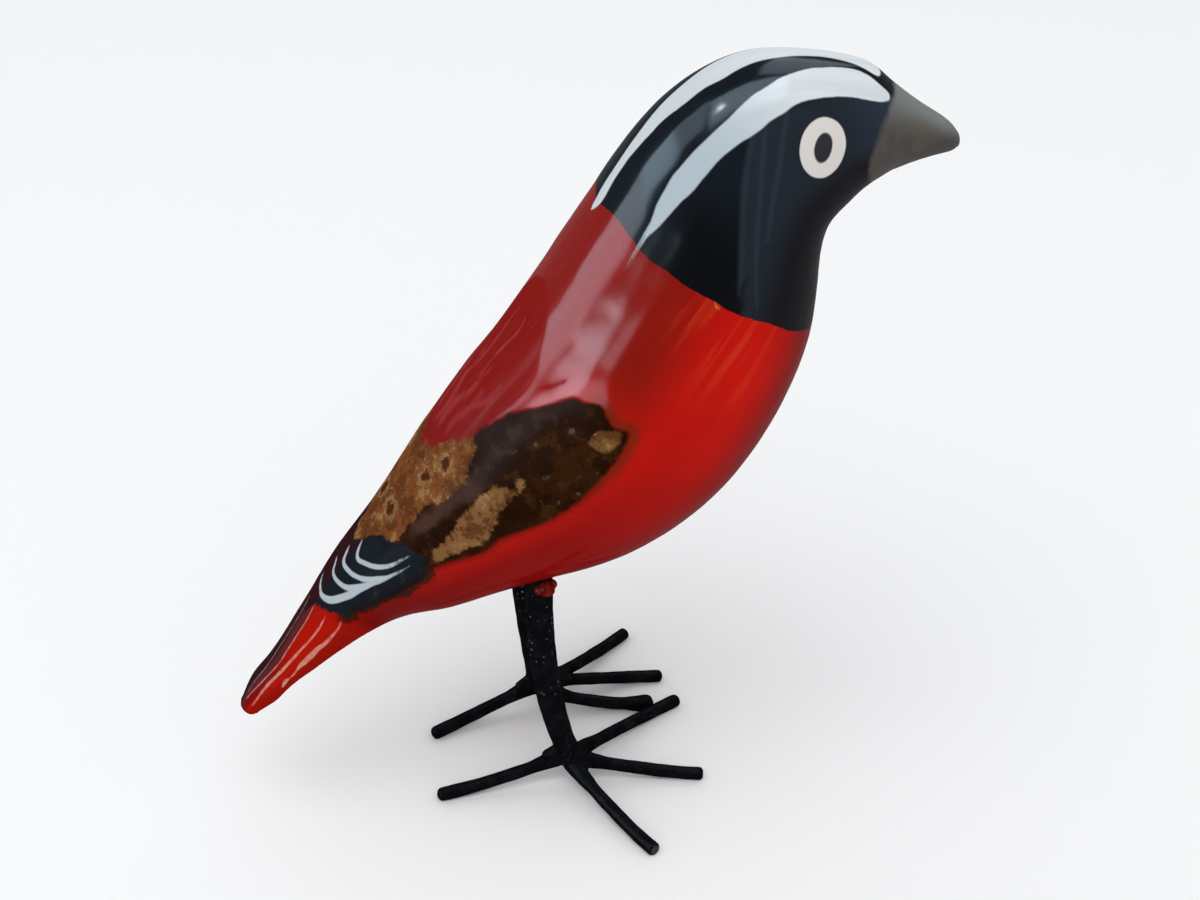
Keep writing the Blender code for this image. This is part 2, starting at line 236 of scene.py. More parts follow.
# The body's grid: how many rings there are from one station to another, with a cap past either end.
RINGS = (
    (0, 4.6, 152),  # tail and wing tips
    (4.6, 8.8, 92),
    (8.8, 15, 128),  # head
    (15, LAST_STATION, 32),  # beak
)
POINTS_ROUND = 232
cap = np.sin(np.radians((80, 60, 40, 20)))
runs = [np.linspace(*run, endpoint=run is RINGS[-1]) for run in RINGS]
body_stations = np.concatenate((-cap, *runs, LAST_STATION + cap[::-1]))
body_angles = np.linspace(0, 2 * math.pi, POINTS_ROUND, endpoint=False)
station_grid, angle_grid = np.meshgrid(body_stations, body_angles, indexing="ij")
body_grid = body_points(station_grid, angle_grid)
flat_points = body_grid.reshape(-1, 3)
flat_station = station_grid.ravel()
flat_degrees = np.degrees(angle_grid.ravel())
flat_degrees = np.where(flat_degrees > 180, flat_degrees - 360, flat_degrees)
# The markings repeat on both sides, so the side of the bird is folded onto its left.
folded_points = flat_points.copy()
folded_points[:, 1] = SYMMETRY_Y + np.abs(flat_points[:, 1] - SYMMETRY_Y)
folded_degrees = np.abs(flat_degrees)

# Outlines as station and degrees down from the back's line. The carved edge of the wing runs a little
# outside its paint.
WING_CARVING = (
    (2.5, 0), (5.1, 0), (5.6, 15), (6.34, 30), (6.78, 33), (7.28, 43), (7.6, 56), (7.5, 70), (7.1, 78),
    (6.4, 83), (5.6, 83), (4.6, 77), (3.6, 78), (2.9, 68), (2.6, 40),
)  # fmt: skip
WING_PAINT = (
    (5.2, 0), (5.41, 15), (5.85, 27), (6.34, 32), (6.72, 40), (7.1, 47), (7.17, 52), (7.28, 58),
    (7.2, 66), (7.27, 72), (7.16, 74), (6.96, 76), (6.71, 77), (6.49, 78), (6.26, 79), (5.98, 79),
    (5.72, 78), (5.39, 76), (5.05, 78), (4.58, 71), (4.33, 70), (4.21, 72), (3.95, 73), (3.55, 76),
    (3.2, 74), (2.96, 68), (2.82, 59), (2.72, 38), (2.6, 13), (2.5, 0),
)  # fmt: skip
WING_TIP = (
    (3.5, 0), (3.62, 8), (4.0, 22), (4.2, 38), (4.48, 60), (4.43, 66), (4.33, 71), (4.21, 73), (3.95, 74),
    (3.55, 77), (3.2, 75), (2.96, 69), (2.82, 60), (2.72, 38), (2.6, 13), (2.45, 0),
)  # fmt: skip
# Pale strokes of feathers on the right wing's tip, with half their width in mm. Degrees to the left of the
# back's line are below zero here, because the strokes start a little past it.
FEATHERS = (
    ((3.67, 12.5, 0.1), (3.55, 16, 0.22), (3.46, 20.5, 0.3), (3.44, 26, 0.34), (3.51, 33, 0.34),
     (3.61, 40.5, 0.36), (3.74, 46, 0.36), (3.89, 49.5, 0.32), (4.03, 51, 0.24), (4.15, 52, 0.18),
     (4.3, 53.5, 0.08)),
    ((3.38, 3, 0.1), (3.31, 6, 0.26), (3.21, 10.5, 0.32), (3.18, 16.5, 0.34), (3.2, 25.5, 0.36),
     (3.25, 35.5, 0.36), (3.33, 44, 0.38), (3.44, 50, 0.4), (3.58, 54, 0.36), (3.74, 57, 0.28),
     (3.91, 58, 0.2), (4.22, 59.5, 0.07)),
    ((3.11, -4, 0.1), (3.06, 1, 0.22), (2.99, 7.5, 0.3), (2.98, 18, 0.32), (3.01, 29, 0.36),
     (3.06, 39, 0.4), (3.16, 46.5, 0.46), (3.27, 51, 0.4), (3.41, 54.5, 0.3), (3.56, 57.5, 0.2),
     (3.8, 58.5, 0.12)),
    ((2.84, -13, 0.08), (2.79, -6.5, 0.22), (2.75, 3.5, 0.3), (2.74, 15.5, 0.4), (2.78, 28, 0.52),
     (2.84, 36.5, 0.57), (2.93, 43, 0.57), (3.05, 49, 0.52), (3.18, 52, 0.38), (3.32, 54.5, 0.28),
     (3.55, 57, 0.16)),
)  # fmt: skip
LEFT_START = 32  # degrees by which the same strokes start lower on the left wing
STROKES_END = 62  # degrees at which they are level again with those on the right wing
# Thin pale strokes down the tail: two along its middle, with degrees as above, and two that are on both
# sides, the lower one with a spot at its end.
MIDDLE_STROKES = (
    ((2.57, -12, 0.12), (2.44, -9, 0.15), (2.25, -8.5, 0.14), (2.02, -7.5, 0.13), (1.76, -4, 0.12),
     (1.36, 5.5, 0.11), (0.88, 12.5, 0.1), (0.44, 15, 0.06)),
    ((2.61, 13, 0.08), (2.46, 17.5, 0.13), (2.29, 18, 0.13), (2.11, 19.5, 0.13), (1.9, 23.5, 0.13),
     (1.54, 26, 0.12), (0.89, 32.5, 0.1), (0.23, 25.5, 0.06)),
)  # fmt: skip
SIDE_STROKES = (
    ((2.67, 42, 0.06), (2.54, 47, 0.17), (2.4, 48, 0.18), (2.24, 46, 0.17), (2.06, 44.5, 0.24),
     (1.81, 43.5, 0.26), (1.46, 46, 0.24), (0.86, 56.5, 0.16), (0.24, 63, 0.06)),
    ((2.81, 62, 0.06), (2.71, 70, 0.12), (2.61, 72.5, 0.2), (2.49, 74, 0.28), (2.39, 71, 0.36),
     (2.28, 72, 0.42), (2.16, 70.5, 0.34), (2.09, 71, 0.2), (2.0, 75, 0.12), (1.89, 76.5, 0.06)),
    ((1.89, 76.5, 0.06), (1.8, 74.5, 0.26), (1.65, 84, 0.08)),
)  # fmt: skip
# Along the ridge of the tail the red is covered by brown and painted shade up to the second middle stroke.
TAIL_RIDGE = (  # station, degrees to the right
    (0.23, 25.5), (0.89, 32.5), (1.54, 26), (1.9, 23.5), (2.11, 19.5), (2.29, 18), (2.46, 17.5), (2.61, 13),
)  # fmt: skip
HEAD_BORDER = (
    (8.9, 0), (8.98, 8), (9.01, 18), (8.99, 30), (8.94, 42), (8.98, 52), (8.98, 62), (9.03, 74),
    (9.05, 86), (9.11, 96), (9.16, 108), (9.17, 120), (9.22, 142), (9.22, 180),
)  # fmt: skip
BEAK_BORDER = (
    (15.2, 0), (15.1, 21), (14.8, 44), (14.06, 67), (13.68, 82), (13.33, 99), (13.1, 113), (13.1, 135),
    (13.2, 180),
)  # fmt: skip
BROW_STRIPE = (
    (14.45, 43), (14.12, 35.5), (13.82, 25.5), (13.59, 20.5), (13.33, 19), (13.0, 20), (12.64, 21.5),
    (12.27, 24), (11.99, 26), (11.69, 29), (11.4, 30.5), (11.16, 32.5), (10.84, 34.5), (10.48, 34.5),
    (10.04, 33.5), (9.82, 33), (9.6, 33.5), (9.42, 34.5), (9.23, 36), (9.1, 36.8), (9.2, 38.8),
    (9.44, 41.5), (9.65, 43), (9.88, 45.5), (10.11, 46.5), (10.51, 47.5), (10.97, 50), (11.16, 50.5),
    (11.38, 49.5), (11.68, 49), (12.0, 47), (12.32, 46.5), (12.66, 47), (13.03, 48), (13.37, 50.5),
    (13.71, 53.5), (14.02, 54), (14.32, 51),
)  # fmt: skip
# Where the brush left the head: its tail on the red, with half its width in mm.
BROW_TAIL = (
    (9.3, 37.5, 0.55), (9.11, 36.6, 0.34), (8.92, 36.4, 0.2), (8.72, 36.4, 0.13), (8.56, 36.6, 0.07),
)  # fmt: skip
# The stripe over the crown, a little off the middle, with degrees to the right as negative.
CROWN_STRIPE = (
    (14.5, -10), (14.28, -22), (14.05, -23), (13.82, -16.5), (13.57, -10), (13.27, -6), (12.98, -4.5),
    (12.65, -4.5), (12.32, -5), (11.99, -5), (11.68, -5.5), (11.36, -7.5), (11.1, -8.5), (10.89, -7.5),
    (10.67, -7.5), (10.42, -7), (10.19, -5), (9.97, -4.5), (9.6, -3), (9.32, -3), (9.02, -4.5), (8.9, -3),
    (8.8, 0), (8.88, 1.5), (9.13, 3), (9.59, 4.5), (10.04, 7), (10.62, 12), (11.3, 19), (12, 23),
    (12.6, 24), (13.2, 22), (13.7, 20), (14.3, 13), (14.5, 3),
)  # fmt: skip
# Lighter wood that shows through the wings' brown: over the lower back, along the flank and on the shoulder.
BACK_TAN = (
    (5.6, 0), (5.75, 15), (5.84, 27), (5.76, 34), (5.55, 40), (5.3, 43), (4.87, 36), (4.63, 37),
    (4.28, 37), (3.98, 24), (3.62, 12), (3.55, 0),
)  # fmt: skip
FLANK_TAN = (
    (6.02, 58), (5.86, 57), (5.67, 53), (5.41, 54), (5.19, 54), (4.96, 57), (4.73, 60), (4.5, 65),
    (4.58, 69), (4.92, 71), (5.15, 73), (5.41, 70), (5.63, 64), (5.89, 62),
)  # fmt: skip
SHOULDER_TAN = ((6.86, 64), (7.03, 62.5), (7.17, 67), (7.22, 71), (7.05, 72.5), (6.9, 70))
# A smooth band of purplish brown between the first two, with half its width in mm: a painted reflection of
# the window in the lacquer over the brown.
WING_REFLECTION_BAND = (
    (6.9, 46, 0.3), (6.41, 42, 1.1), (5.96, 42, 1.6), (5.47, 46, 1.5), (5.02, 45, 1.2), (4.61, 43, 0.9),
)  # fmt: skip
KNOTS = ((5.07, 21), (5.36, 27), (4.4, 12), (6.8, 72.5))
# Small flecks of the pale wood in the brown: station, degrees and radius in mm.
FLECKS = (
    (6.83, 56, 0.5), (6.24, 63, 0.55), (6.38, 76, 0.4), (6.55, 62, 0.25), (6.14, 47, 0.3),
    (6.43, 58, 0.2), (6.39, 50, 0.25), (6.7, 74, 0.2), (6.16, 75, 0.25), (6.02, 70, 0.3), (6.9, 68, 0.2),
)  # fmt: skip
# Mauve brush marks over the back's red.
MAUVE_MARKS = (
    ((5.5, 3, 0.3), (5.74, 2, 0.6), (5.95, 5, 0.4), (6.1, 8, 0.2)),
    ((6.05, 17, 0.2), (6.25, 20, 0.4), (6.45, 20, 0.2)),
    ((5.55, 13, 0.2), (5.72, 12, 0.35), (6.0, 15, 0.35), (6.2, 14, 0.15)),
)  # fmt: skip
THIN_MARKS = (
    ((7.25, 5, 0.04), (7.05, 6, 0.12), (6.81, 5, 0.14), (6.6, 4, 0.15), (6.31, 5, 0.12), (6.0, 7, 0.05)),
    ((6.6, 9, 0.02), (6.45, 8, 0.08), (6.25, 7, 0.08), (6.1, 9, 0.02)),
)  # fmt: skip
# Where the lacquer sank in and lost its shine over the lower back.
SUNKEN = (
    (7.75, 0), (7.62, 12), (7.39, 20), (7.18, 24), (6.99, 29), (6.79, 31), (6.55, 31), (6.3, 30),
    (5.8, 29), (5.2, 20), (5.0, 0),
)  # fmt: skip
# The knife's cut above the wing, drawn as a line of painted shade: a darker, matte crimson, since the
# carving keeps almost no step there.
CUT = (
    (6.78, 31.5, 0.06), (6.85, 34, 0.2), (6.95, 36.5, 0.3), (7.06, 39, 0.3), (7.17, 40.5, 0.2),
    (7.26, 42, 0.06),
)  # fmt: skip
# On the face the navy is greyer past this line, and thin streaks run along it: both are the room's
# reflection in the lacquer, painted in.
FACE_REFLECTION_LINE = (
    (9.1, 88), (9.27, 85), (9.54, 82), (9.96, 75), (10.39, 66), (10.72, 58), (11.05, 49), (11.3, 46),
)  # fmt: skip
FACE_REFLECTION_STREAKS = (
    ((11.1, 48, 0.1), (10.72, 58, 0.28), (10.39, 66, 0.3), (9.96, 75, 0.3), (9.54, 82, 0.25),
     (9.27, 85, 0.1)),
    ((11.33, 48, 0.06), (11.01, 60, 0.14), (10.56, 73, 0.16), (10.11, 82, 0.14), (9.65, 89, 0.14),
     (9.23, 96, 0.06)),
    ((11.78, 49, 0.1), (11.39, 62, 0.24), (11.0, 74, 0.26), (10.59, 82, 0.2), (10.06, 90, 0.08)),
)  # fmt: skip
CHIP = ((9.04, 75, 0.1), (9.01, 78, 0.3), (9.03, 81, 0.12))  # in the head's border
EYE_CENTRE = np.array((30.72, SYMMETRY_Y + 11.25, 110.5))
EYE_UP = np.array((0.0, -0.36, 0.93))  # along the side of the head, square to the way ahead
EYE_LEAN = math.radians(18)  # of its long axis, ahead
RING_RADII = (3.6, 4.1)  # across the long axis, and along it
PUPIL_RADII = (1.42, 2.05)


def border_depth(border):
    """Distance in mm past a border that runs round the body, below zero on the tail's side of it."""
    places = dense(border, False)
    at = np.interp(folded_degrees, places[:, 1], places[:, 0])
    return np.where(flat_station > at, 1, -1) * from_line(folded_points, border)


def eye_depth(radii):
    """Depth in mm inside a leaning oval: smaller radius * (1 - the distance in shares of both radii)."""
    gap = folded_points - EYE_CENTRE
    ahead, up = gap[:, 0], gap @ EYE_UP
    across = ahead * math.cos(EYE_LEAN) - up * math.sin(EYE_LEAN)
    along = ahead * math.sin(EYE_LEAN) + up * math.cos(EYE_LEAN)
    return (1 - np.hypot(across / radii[0], along / radii[1])) * radii[0]


def patch_depth(outline, closed=True):
    """Depth in mm inside a patch that is on both sides of the bird."""
    return depth_in(folded_points, flat_station, folded_degrees, outline, closed)


def strokes_depth(strokes, points=folded_points):
    """Depth in mm inside the nearest of some strokes, which are on both sides of the bird unless told."""
    return -np.min([from_line(points, stroke) for stroke in strokes], axis=0)


# The carving's outline starts along the back's line, which is no edge, so its first stretch is left out.
carving_edge = WING_CARVING[1:] + WING_CARVING[:1]
carved = within(flat_station, folded_degrees, WING_CARVING)
carving_depth = np.where(carved, 1, -1) * from_line(folded_points, carving_edge)
crown_depth = depth_in(flat_points, flat_station, flat_degrees, CROWN_STRIPE)
brow_depth = np.maximum(patch_depth(BROW_STRIPE), strokes_depth((BROW_TAIL,)))
RIGHT = np.array((1, -1, 1))  # turns the degrees of a stroke's points onto the right side
right_feathers = [np.array(stroke) * RIGHT for stroke in FEATHERS]
squeeze = np.array((1, 1 - LEFT_START / STROKES_END, 1))
left_feathers = [np.array(stroke) * squeeze + (0, LEFT_START, 0) for stroke in FEATHERS]
middle_strokes = [np.array(stroke) * RIGHT for stroke in MIDDLE_STROKES]
tan_depth = np.maximum(patch_depth(FLANK_TAN), patch_depth(SHOULDER_TAN))
tan_depth = np.maximum(tan_depth, patch_depth(BACK_TAN, closed=False))
knot_places = body_points(*np.array([(at, math.radians(degrees)) for at, degrees in KNOTS]).T)
knot_gap = np.min([np.linalg.norm(folded_points - knot, axis=1) for knot in knot_places], axis=0)
fleck_table = np.array(FLECKS)
fleck_places = body_points(fleck_table[:, 0], np.radians(fleck_table[:, 1]))
fleck_gaps = np.array([np.linalg.norm(folded_points - fleck, axis=1) for fleck in fleck_places])
fleck_depth = (fleck_table[:, 2:] - fleck_gaps).max(axis=0)
ridge_line = np.array(TAIL_RIDGE).T
ridge_depth = np.interp(flat_station, *ridge_line) + flat_degrees  # degrees past it, to the left
face_reflection_line = np.array(FACE_REFLECTION_LINE).T
face_reflection_depth = folded_degrees - np.interp(flat_station, *face_reflection_line)  # degrees past it, downwards

# Each point's place along and round the body in mm, for what follows the brush.
SIDES_APART = 40.0  # which gives each side of the bird marks of its own
along_mm = np.concatenate(((0,), np.cumsum(np.linalg.norm(np.diff(body_grid.mean(axis=1), axis=0), axis=1))))
girth = np.linalg.norm(body_grid - body_grid.mean(axis=1, keepdims=True), axis=2).mean(axis=1)
brush_place = np.stack(
    (
        np.repeat(along_mm, len(body_angles)),
        np.radians(folded_degrees) * np.repeat(girth, len(body_angles)),
        np.sign(flat_degrees) * SIDES_APART,
    ),
    axis=1,
)

# The wing's step is hardly there along its upper edge, where the cut's shade is painted instead, and grows
# to its full height towards the flank. Over all lie the waves that the knife and the lacquer's brush left.
edge_width = np.interp(folded_degrees, (15, 27, 42, 52, 70), (3.0, 2.0, 2.4, 4.5, 6.0))
rise = np.clip(carving_depth / edge_width + 0.5, 0, 1)
relief = WING_RELIEF * np.interp(folded_degrees, (12, 44, 56, 72), (0.05, 0.06, 0.4, 1.0))
relief *= np.interp(flat_station, (2.4, 4.2), (0.2, 1.0))
height = relief * rise**2 * (3 - 2 * rise)
height += gentle_waves(flat_points, longest=16.0, height=0.05, count=14, seed=4)
height += gentle_waves(flat_points, longest=5.5, height=0.010, count=16, seed=8)
height += gentle_waves(brush_place * (0.12, 1.0, 1.0), longest=6.5, height=0.032, count=18, seed=3)
body_grid = body_grid + normals_of(body_grid) * height.reshape(station_grid.shape)[..., None]
body_poles = body_points(np.array((-1.0, LAST_STATION + 1.0)), np.zeros(2))
carved_body = closed_rings("carved_body", body_grid, body_poles[0], body_poles[1])

# Each point keeps its depth inside every painted patch.
marks = {
    "wing_depth": patch_depth(WING_PAINT, closed=False),
    "tip_depth": patch_depth(WING_TIP, closed=False),
    "head_depth": border_depth(HEAD_BORDER),
    "beak_depth": border_depth(BEAK_BORDER),
    "stripe_depth": np.maximum(brow_depth, crown_depth),
    "feather_depth": strokes_depth(right_feathers + left_feathers, flat_points),
    "stroke_depth": np.maximum(strokes_depth(middle_strokes, flat_points), strokes_depth(SIDE_STROKES)),
    "mauve_depth": strokes_depth(MAUVE_MARKS),
    "thin_depth": strokes_depth(THIN_MARKS),
    "fleck_depth": fleck_depth,
    "ridge_depth": ridge_depth,
    "face_reflection_depth": face_reflection_depth,
    "face_reflection_streaks": strokes_depth(FACE_REFLECTION_STREAKS),
    "sunken_depth": patch_depth(SUNKEN, closed=False),
    "cut_shade_depth": strokes_depth((CUT,)),
    "chip_depth": strokes_depth((CHIP,)),
    "tan_depth": tan_depth,
    "wing_reflection_depth": strokes_depth((WING_REFLECTION_BAND,)),
    "knot_gap": knot_gap,
    "ring_depth": eye_depth(RING_RADII),
    "pupil_depth": eye_depth(PUPIL_RADII),
    "station": flat_station,
    "turn": folded_degrees,
    "left_turn": flat_degrees,
}
for mark, values in marks.items():
    layer = carved_body.data.attributes.new(mark, "FLOAT", "POINT")
    layer.data.foreach_set("value", np.concatenate((values, (values[0], values[-1]))).astype(np.float32))
layer = carved_body.data.attributes.new("brush_place", "FLOAT_VECTOR", "POINT")
ends = np.vstack((brush_place, brush_place[:1], brush_place[-1:]))
layer.data.foreach_set("vector", ends.ravel().astype(np.float32))


def paint(red, green, blue):
    """A colour as it looks on a screen, 0 to 255, as the light it gives back."""
    shares = np.array((red, green, blue)) / 255
    light = np.where(shares <= 0.04045, shares / 12.92, ((shares + 0.055) / 1.055) ** 2.4)
    return (*light, 1.0)


class Field:
    """A number that varies over a surface. Arithmetic on it adds Math nodes to its finish."""

    def __init__(self, finish, socket):
        self.finish, self.socket = finish, socket

    def maths(self, operation, one, other):
        return self.finish.node("ShaderNodeMath", {"operation": operation}, {0: one, 1: other})

    def __add__(self, other):
        return self.maths("ADD", self, other)

    def __sub__(self, other):
        return self.maths("SUBTRACT", self, other)

    def __mul__(self, other):
        return self.maths("MULTIPLY", self, other)

    def __rsub__(self, other):
        return self.maths("SUBTRACT", other, self)

    def ramp(self, start, end):
        """0 up to start and 1 from end on, with a smooth step between them. The end may be the lower one."""
        settings = {"interpolation_type": "SMOOTHSTEP"}
        sockets = {"Value": self, "From Min": start, "From Max": end}
        return self.finish.node("ShaderNodeMapRange", settings, sockets)

    def least(self, other):
        return self.maths("MINIMUM", self, other)

    def most(self, other):
        return self.maths("MAXIMUM", self, other)


class Finish:
    """A material of this bird: a Principled surface, with the nodes that colour it."""

    def __init__(self, name, **fixed):
        self.material = bpy.data.materials.new(name)
        self.material.use_nodes = True
        self.tree = self.material.node_tree
        self.surface = self.tree.nodes["Principled BSDF"]
        for socket, value in fixed.items():
            self.surface.inputs[socket.replace("_", " ")].default_value = value

    def node(self, kind, settings, sockets, output=0):
        """A node with its settings made first, and then its sockets given a value or linked."""
        made = self.tree.nodes.new(kind)
        for setting, value in settings.items():
            setattr(made, setting, value)
        for socket, value in sockets.items():
            if isinstance(value, Field):
                self.tree.links.new(value.socket, made.inputs[socket])
            else:
                made.inputs[socket].default_value = value
        return Field(self, made.outputs[output])

    def layer(self, under, share, over):
        """Paint over paint, by its share at each place."""
        return self.node("ShaderNodeMix", {"data_type": "RGBA"}, {0: share, 6: under, 7: over}, output=2)

    def mark(self, name, output="Fac"):
        return self.node("ShaderNodeAttribute", {"attribute_name": name}, {}, output=output)

    def noise(self, place, scale, detail=3.0, roughness=0.5, distortion=0.0):
        sockets = {"Vector": place, "Scale": scale, "Detail": detail, "Roughness": roughness}
        return self.node("ShaderNodeTexNoise", {}, {**sockets, "Distortion": distortion})

    def stretched(self, place, factors):
        return self.node("ShaderNodeVectorMath", {"operation": "MULTIPLY"}, {0: place, 1: factors})

    def object_place(self):
        return self.node("ShaderNodeTexCoord", {}, {}, output="Object")

    def feed(self, **sockets):
        for socket, value in sockets.items():
            self.tree.links.new(value.socket, self.surface.inputs[socket.replace("_", " ")])


# The paint: a red coat first, the brown of the wings and the navy of the head over it with a brush, then the
# pale strokes, and a thick clear lacquer over all of it.
wood = Finish(
    "painted_wood_under_lacquer",
    Roughness=0.6,
    Specular_IOR_Level=0.0,
    Coat_Roughness=0.14,
    Coat_IOR=1.4,
)
place = wood.object_place()
brushed = wood.mark("brush_place", "Vector")
station, turn = wood.mark("station"), wood.mark("turn")
wing, tip, head, beak = (wood.mark(name) for name in ("wing_depth", "tip_depth", "head_depth", "beak_depth"))
# How far the brush strayed from each edge, in mm.
stray = (wood.noise(place, 420.0, 3.0) - 0.5) * 0.9
ragged = (wood.noise(place, 900.0, 4.0, 0.65) - 0.5) * 1.6
streaks = wood.noise(wood.stretched(brushed, (0.05, 0.55, 0.05)), 1.0, 4.0, 0.6, 0.4)
fine_streaks = wood.noise(wood.stretched(brushed, (0.12, 1.6, 0.12)), 1.0, 3.0, 0.6)
clouds = wood.noise(place, 90.0, 3.0, 0.5)
crumbs = wood.noise(place, 1100.0, 4.0, 0.75)

# The red is darker below, which is painted shade, and on the back and the upper neck, where it is partly a
# duller paint and partly painted shade. It is streaked with orange under the cheek, where it is thin.
red = wood.layer(paint(192, 17, 7), clouds.ramp(0.42, 0.62) * 0.5, paint(180, 14, 5))
# Painted shade: the red darkens down the lower flank, under the belly and low beside the tail's root.
red = wood.layer(red, turn.ramp(68, 98) * (1 - station.ramp(5.4, 8.4)), paint(134, 11, 6))
red = wood.layer(red, turn.ramp(104, 140), paint(116, 12, 11))
red = wood.layer(red, turn.ramp(58, 80) * (1 - station.ramp(3.4, 5.4)) * 0.75, paint(104, 12, 9))
# Darker, duller red over the back and the upper neck: partly the paint's own tone, partly painted shade.
back = (1 - turn.ramp(22, 62)) * station.ramp(4.3, 5.0)
red = wood.layer(red, back * 0.9, paint(122, 27, 24))
neck = station.ramp(6.8, 7.8) * (1 - turn.ramp(60, 88)) * turn.ramp(20, 42)
red = wood.layer(red, neck * 0.9, paint(124, 18, 7))
thin_coat = station.ramp(7.7, 8.8) * (1 - turn.ramp(100, 125)) * turn.ramp(52, 78)
red = wood.layer(red, thin_coat * streaks.ramp(0.48, 0.68) * 0.5, paint(206, 62, 30))
red = wood.layer(red, back * fine_streaks.ramp(0.5, 0.7) * 0.35, paint(140, 46, 46))
beside_brown = wing.ramp(-5.0, -0.8) * (1 - turn.ramp(26, 40)) * fine_streaks.ramp(0.3, 0.62)
red = wood.layer(red, beside_brown * 0.55, paint(112, 32, 34))
mauve = (wood.mark("mauve_depth") + stray * 0.8 + ragged * 0.4).ramp(-0.7, 0.4)
red = wood.layer(red, mauve * clouds.ramp(0.36, 0.6) * 0.5, paint(152, 64, 68))
thin = (wood.mark("thin_depth") + stray * 0.5 + ragged * 0.2).ramp(-0.35, 0.2)
red = wood.layer(red, thin * 0.32, paint(178, 98, 102))
# Painted shade in the knife's cut: a thin darker crimson line.
red = wood.layer(red, (wood.mark("cut_shade_depth") + ragged * 0.12).ramp(-0.2, 0.1) * 0.9, paint(138, 18, 26))

# The tail: brown over its ridge, darkening to near black further left, which is partly paint and partly
# painted shade of its far side; dark red beside that towards the tip, and the pale strokes.
on_tail = 1 - station.ramp(2.75, 3.0)
ridge = wood.mark("ridge_depth") + ragged * 2.0
beside = (ridge.ramp(-30, -22) * (1 - station.ramp(1.5, 2.3)) * on_tail).least(1 - turn.ramp(60, 72))
red = wood.layer(red, on_tail * 0.7, paint(158, 24, 12))
red = wood.layer(red, beside * 0.85, paint(112, 18, 20))
# Brown over the ridge, near black further to the left: partly paint, partly painted shade of the far side.
over_ridge_brown_and_shade = ridge.ramp(-1.5, 2.5) * (1 - ridge.ramp(66, 84)) * on_tail
ridge_brown_and_shade = wood.layer(paint(84, 38, 42), ridge.ramp(14, 26), paint(38, 26, 26))
red = wood.layer(red, over_ridge_brown_and_shade * 0.95, ridge_brown_and_shade)
dots = 1 - crumbs.ramp(0.52, 0.62) * 0.55
strokes = (wood.mark("stroke_depth") + stray * 0.14 + ragged * 0.12).ramp(-0.12, 0.12) * dots
stroke_colour = wood.layer(paint(214, 128, 118), ragged.ramp(-0.1, 0.2), paint(204, 150, 122))
# The strokes are greyer where they cross the shaded ridge: painted shade too.
stroke_colour = wood.layer(stroke_colour, ridge.ramp(4, 10), paint(138, 118, 112))
red = wood.layer(red, strokes * 0.85, stroke_colour)

# The wings: near black brown clouds, worn to tan wood with knots, and a smooth purplish band of painted
# reflection.
blotches = wood.noise(place, 170.0, 3.0, 0.55)
patches = wood.noise(place, 360.0, 5.0, 0.65)
brown = wood.layer(paint(36, 18, 8), blotches.ramp(0.46, 0.66) * 0.8, paint(54, 29, 13))
brown = wood.layer(brown, patches.ramp(0.5, 0.62) * 0.5, paint(68, 41, 20))
brown = wood.layer(brown, patches.ramp(0.46, 0.36) * 0.7, paint(28, 14, 7))
fleck = (wood.mark("fleck_depth") + ragged * 1.1 + (patches - 0.5) * 2.2).ramp(-0.15, 0.35)
brown = wood.layer(brown, fleck * 0.6, paint(100, 80, 62))
brown = wood.layer(brown, crumbs.ramp(0.62, 0.74) * patches.ramp(0.48, 0.6) * 0.6, paint(104, 80, 58))
rim = (1 - wing.ramp(1.0, 3.4)) * (1 - turn.ramp(46, 60))
brown = wood.layer(brown, rim * 0.75, paint(44, 32, 30))
# Painted reflection: the window's light in the lacquer, as a purplish band along the wing.
wing_reflection_place = wood.mark("wing_reflection_depth") + (blotches - 0.5) * 3.0 + (patches - 0.5) * 2.5 + ragged * 0.5
wing_reflection = wing_reflection_place.ramp(-0.9, 0.7)
wing_reflection_colour = wood.layer(paint(44, 32, 29), patches.ramp(0.4, 0.64), paint(58, 45, 40))
wing_reflection_colour = wood.layer(wing_reflection_colour, (1 - station.ramp(5.0, 5.9)) * 0.75, paint(76, 49, 38))
brown = wood.layer(brown, wing_reflection * 0.85, wing_reflection_colour)
wander = (patches - 0.5) * 3.4 * (1 - station.ramp(6.2, 6.8))
tan = (wood.mark("tan_depth") + wander + ragged * 0.7).ramp(-0.2, 0.5)
upper = 1 - turn.ramp(34, 50)
tan_colour = wood.layer(paint(126, 89, 53), upper, paint(116, 69, 36))
tan_colour = wood.layer(tan_colour, station.ramp(6.4, 6.8) * 0.5, paint(100, 66, 32))
tan_colour = wood.layer(tan_colour, patches.ramp(0.52, 0.42) * 0.8, paint(84, 48, 25))
tan_colour = wood.layer(tan_colour, blotches.ramp(0.5, 0.4) * upper * 0.6, paint(92, 52, 28))
tan_colour = wood.layer(tan_colour, patches.ramp(0.56, 0.66) * 0.65, paint(160, 122, 82))
tan_colour = wood.layer(tan_colour, crumbs.ramp(0.6, 0.7) * 0.55, paint(184, 152, 114))
tan_colour = wood.layer(tan_colour, (1 - crumbs.ramp(0.34, 0.42)) * 0.6, paint(62, 36, 18))
knot = wood.mark("knot_gap") + (patches - 0.5) * 5.5 + ragged * 0.9 - 0.25
knot_rim = (knot.ramp(0.5, 0.9) - knot.ramp(1.1, 2.0)) * crumbs.ramp(0.36, 0.56)
tan_colour = wood.layer(tan_colour, knot_rim * 0.5, paint(172, 134, 94))
tan_colour = wood.layer(tan_colour, (1 - knot.ramp(0.0, 0.7)) * 0.75, paint(50, 28, 15))
brown = wood.layer(brown, tan * 0.95, tan_colour)
